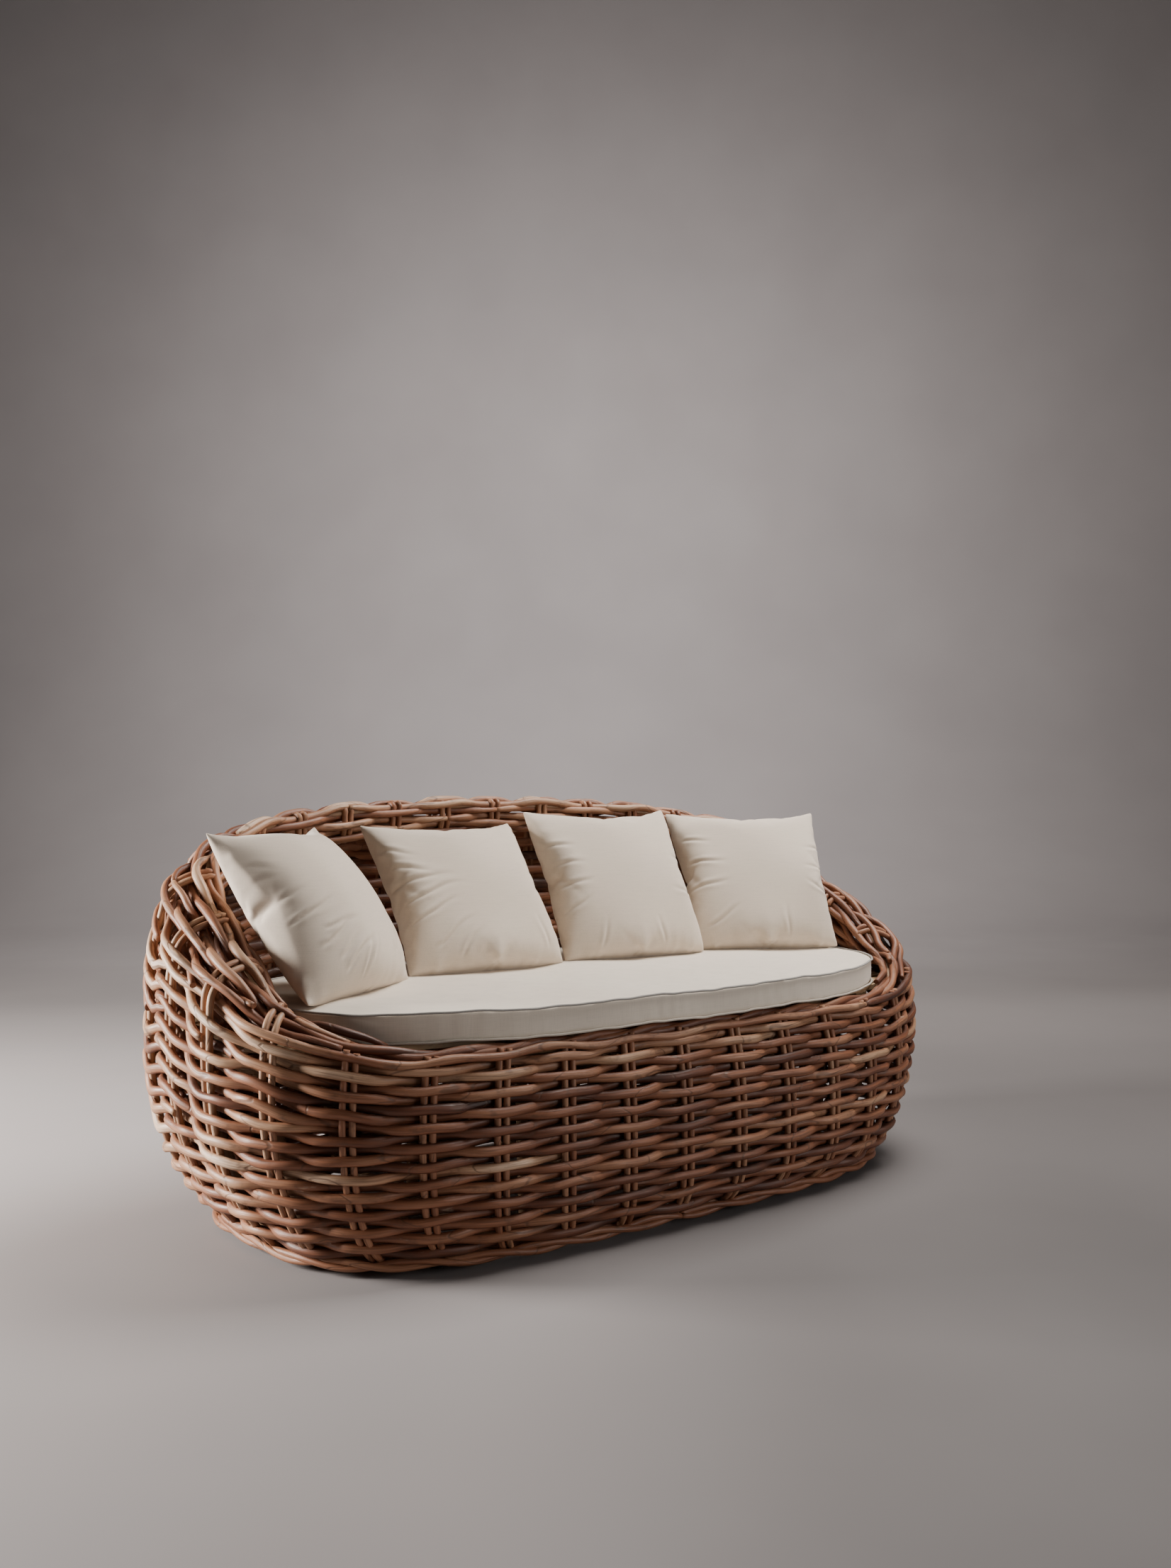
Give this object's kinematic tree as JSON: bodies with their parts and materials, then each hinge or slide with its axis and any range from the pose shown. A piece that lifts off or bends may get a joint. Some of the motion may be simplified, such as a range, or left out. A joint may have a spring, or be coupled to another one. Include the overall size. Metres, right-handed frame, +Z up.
{
  "type": "garden sofa",
  "caption": "Free-standing oval woven rattan basket sofa with a rolled rim, a boxed seat cushion with piping and loose square scatter pillows.",
  "frame": {"origin": "centre of the footprint on the floor, at the underside of the glides", "axes": "+X along the sofa, to the right seen from the front; -Y to the front; +Z up"},
  "size_m": [1.7998, 0.85, 0.8308],
  "materials": {
    "weave": "natural rattan weave, satin",
    "stake": "natural rattan stakes, satin",
    "frame_pole": "natural rattan pole, satin",
    "slat_wood": "sawn softwood, matte",
    "screw_steel": "zinc plated",
    "glide": "black plastic",
    "linen": "off-white woven linen cotton, matte",
    "piping": "covered cord, matte",
    "zip": "zip tape, matte",
    "foam": "upholstery foam, matte",
    "filling": "soft filling, matte"
  },
  "bodies": {
    "basket": {"outer_weave": "weave", "inner_weave": "weave", "rim_roll": "weave", "foot_border": "weave", "stakes": "stake", "rim_pole": "frame_pole", "base_ring": "frame_pole", "seat_ring": "frame_pole", "posts": "frame_pole", "base_rails": "frame_pole", "base_stretchers": "frame_pole", "centre_posts": "frame_pole", "seat_bearers": "slat_wood", "seat_slats": "slat_wood", "bearer_screws": "screw_steel", "slat_screws": "screw_steel", "seat_ring_screws": "screw_steel", "base_ring_screws": "screw_steel", "glides": "glide", "glide_screws": "screw_steel"},
    "seat_cushion": {"seat_foam": "foam", "seat_cover_top": "linen", "seat_cover_band": "linen", "seat_cover_bottom": "linen", "seat_piping_top": "piping", "seat_piping_bottom": "piping", "seat_zip": "zip"},
    "pillow_1": {"pillow_1_front": "linen", "pillow_1_back": "linen", "pillow_1_pad": "filling"},
    "pillow_2": {"pillow_2_front": "linen", "pillow_2_back": "linen", "pillow_2_pad": "filling"},
    "pillow_3": {"pillow_3_front": "linen", "pillow_3_back": "linen", "pillow_3_pad": "filling"},
    "pillow_4": {"pillow_4_front": "linen", "pillow_4_back": "linen", "pillow_4_pad": "filling"}
  },
  "joints": [
    {"name": "seat_cushion_lift", "type": "slide", "parent": "basket", "child": "seat_cushion", "axis": [0, -0.158, 0.9874], "range_m": [0, 0.47]},
    {"name": "pillow_1_lift", "type": "slide", "parent": "seat_cushion", "child": "pillow_1", "axis": [0, 0, 1], "range_m": [0, 0.42]},
    {"name": "pillow_2_lift", "type": "slide", "parent": "seat_cushion", "child": "pillow_2", "axis": [0, 0, 1], "range_m": [0, 0.42]},
    {"name": "pillow_3_lift", "type": "slide", "parent": "seat_cushion", "child": "pillow_3", "axis": [0, 0, 1], "range_m": [0, 0.42]},
    {"name": "pillow_4_lift", "type": "slide", "parent": "seat_cushion", "child": "pillow_4", "axis": [0, 0, 1], "range_m": [0, 0.42]}
  ]
}
